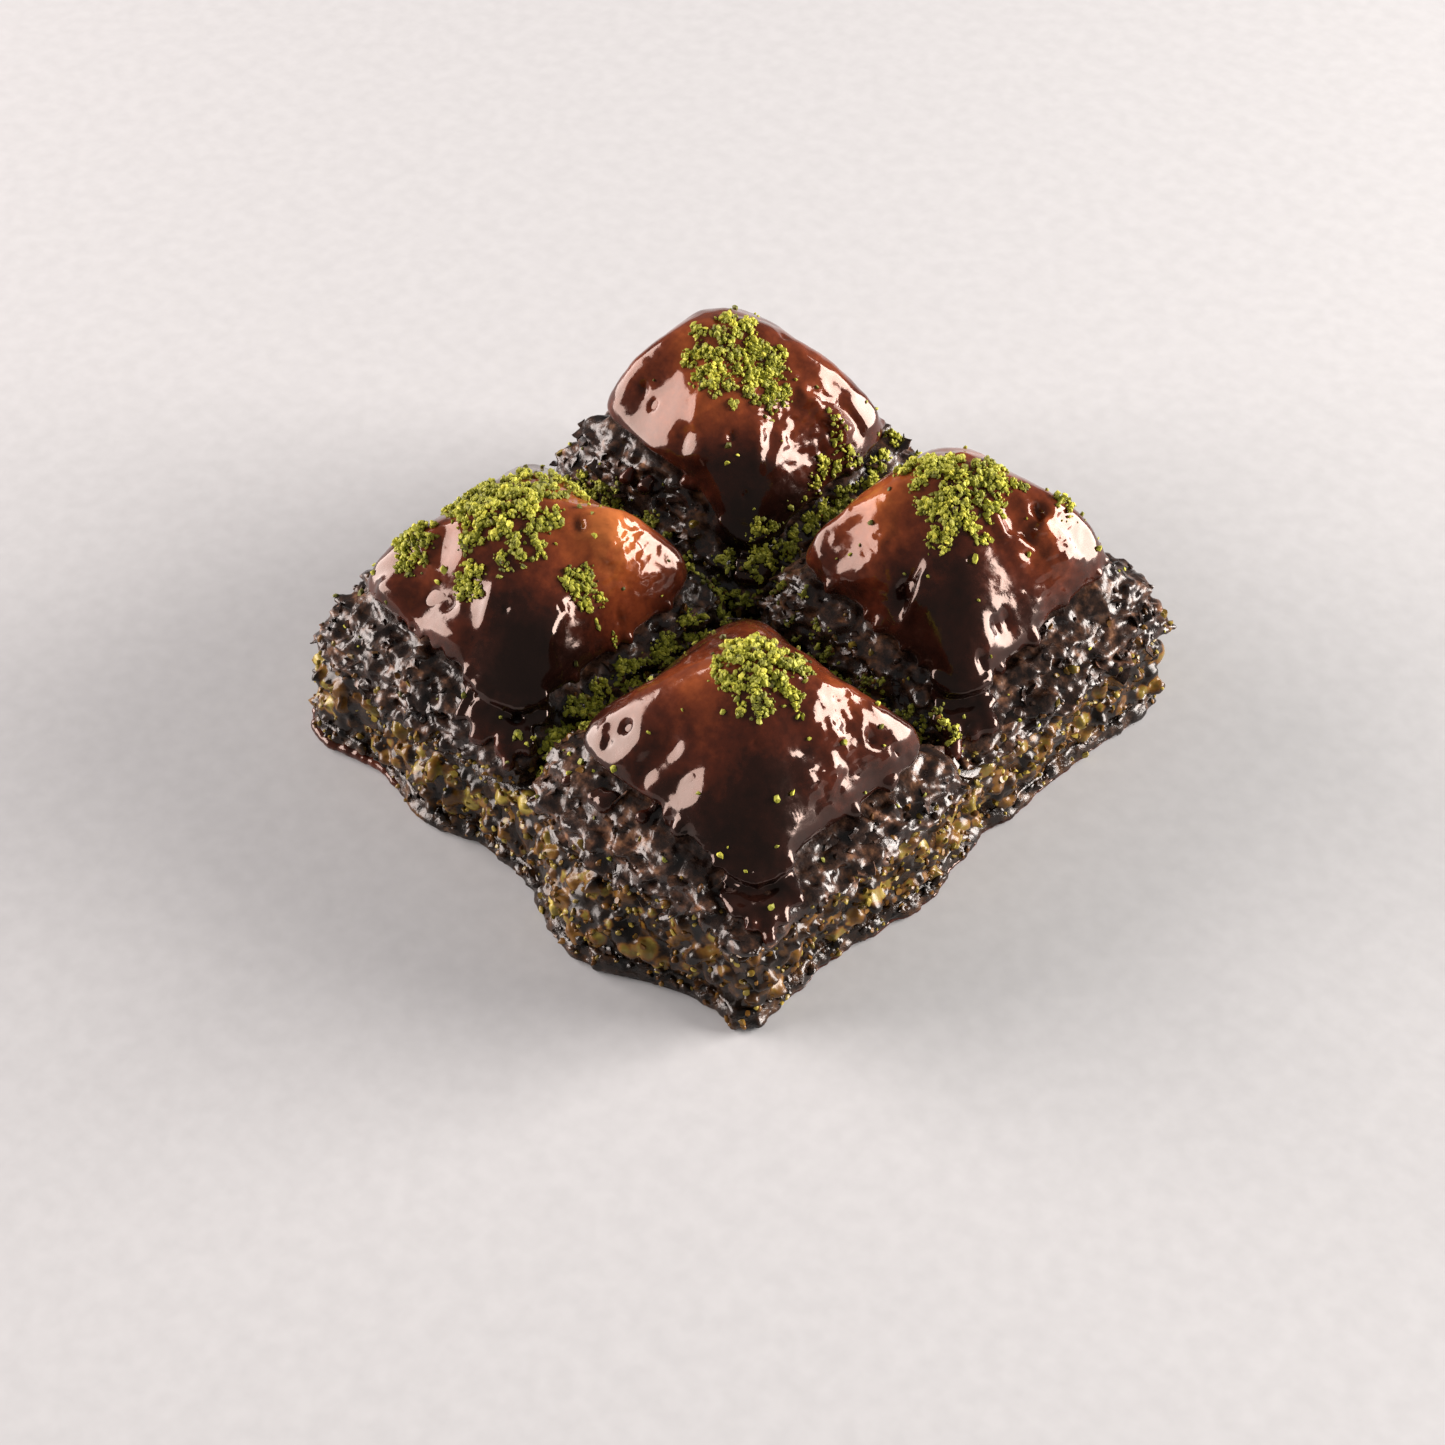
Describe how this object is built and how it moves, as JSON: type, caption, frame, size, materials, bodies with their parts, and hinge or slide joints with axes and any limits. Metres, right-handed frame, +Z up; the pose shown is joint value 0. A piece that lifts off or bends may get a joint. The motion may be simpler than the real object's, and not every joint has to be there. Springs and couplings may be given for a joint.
{
  "type": "block of chocolate baklava",
  "caption": "Chocolate baklava cut into domed squares on a shared base, with a pistachio filling and ground pistachio on the glazed crusts.",
  "frame": {"origin": "middle of the block's footprint, on the surface that it stands on", "axes": "+Z up; X and Y along the block's sides, +Y towards the north-east and north-west squares"},
  "size_m": [0.0882, 0.0928, 0.0441],
  "materials": {
    "bottom_pastry": "dark pastry soaked in chocolate syrup, glossy",
    "pistachio_filling": "chopped green and yellow pistachio bound with dark syrup, wet",
    "flaky_pastry": "near-black cocoa pastry sheets soaked in syrup, crumbly and wet",
    "glazed_crust": "reddish-brown glaze, smooth and very glossy"
  },
  "bodies": {
    "root": {"bottom_pastry": "bottom_pastry", "pistachio_filling": "pistachio_filling", "flaky_sheets_se": "flaky_pastry", "flaky_sheets_sw": "flaky_pastry", "flaky_sheets_ne": "flaky_pastry", "flaky_sheets_nw": "flaky_pastry", "glazed_crust_se": "glazed_crust", "glazed_crust_sw": "glazed_crust", "glazed_crust_ne": "glazed_crust", "glazed_crust_nw": "glazed_crust"}
  },
  "joints": []
}
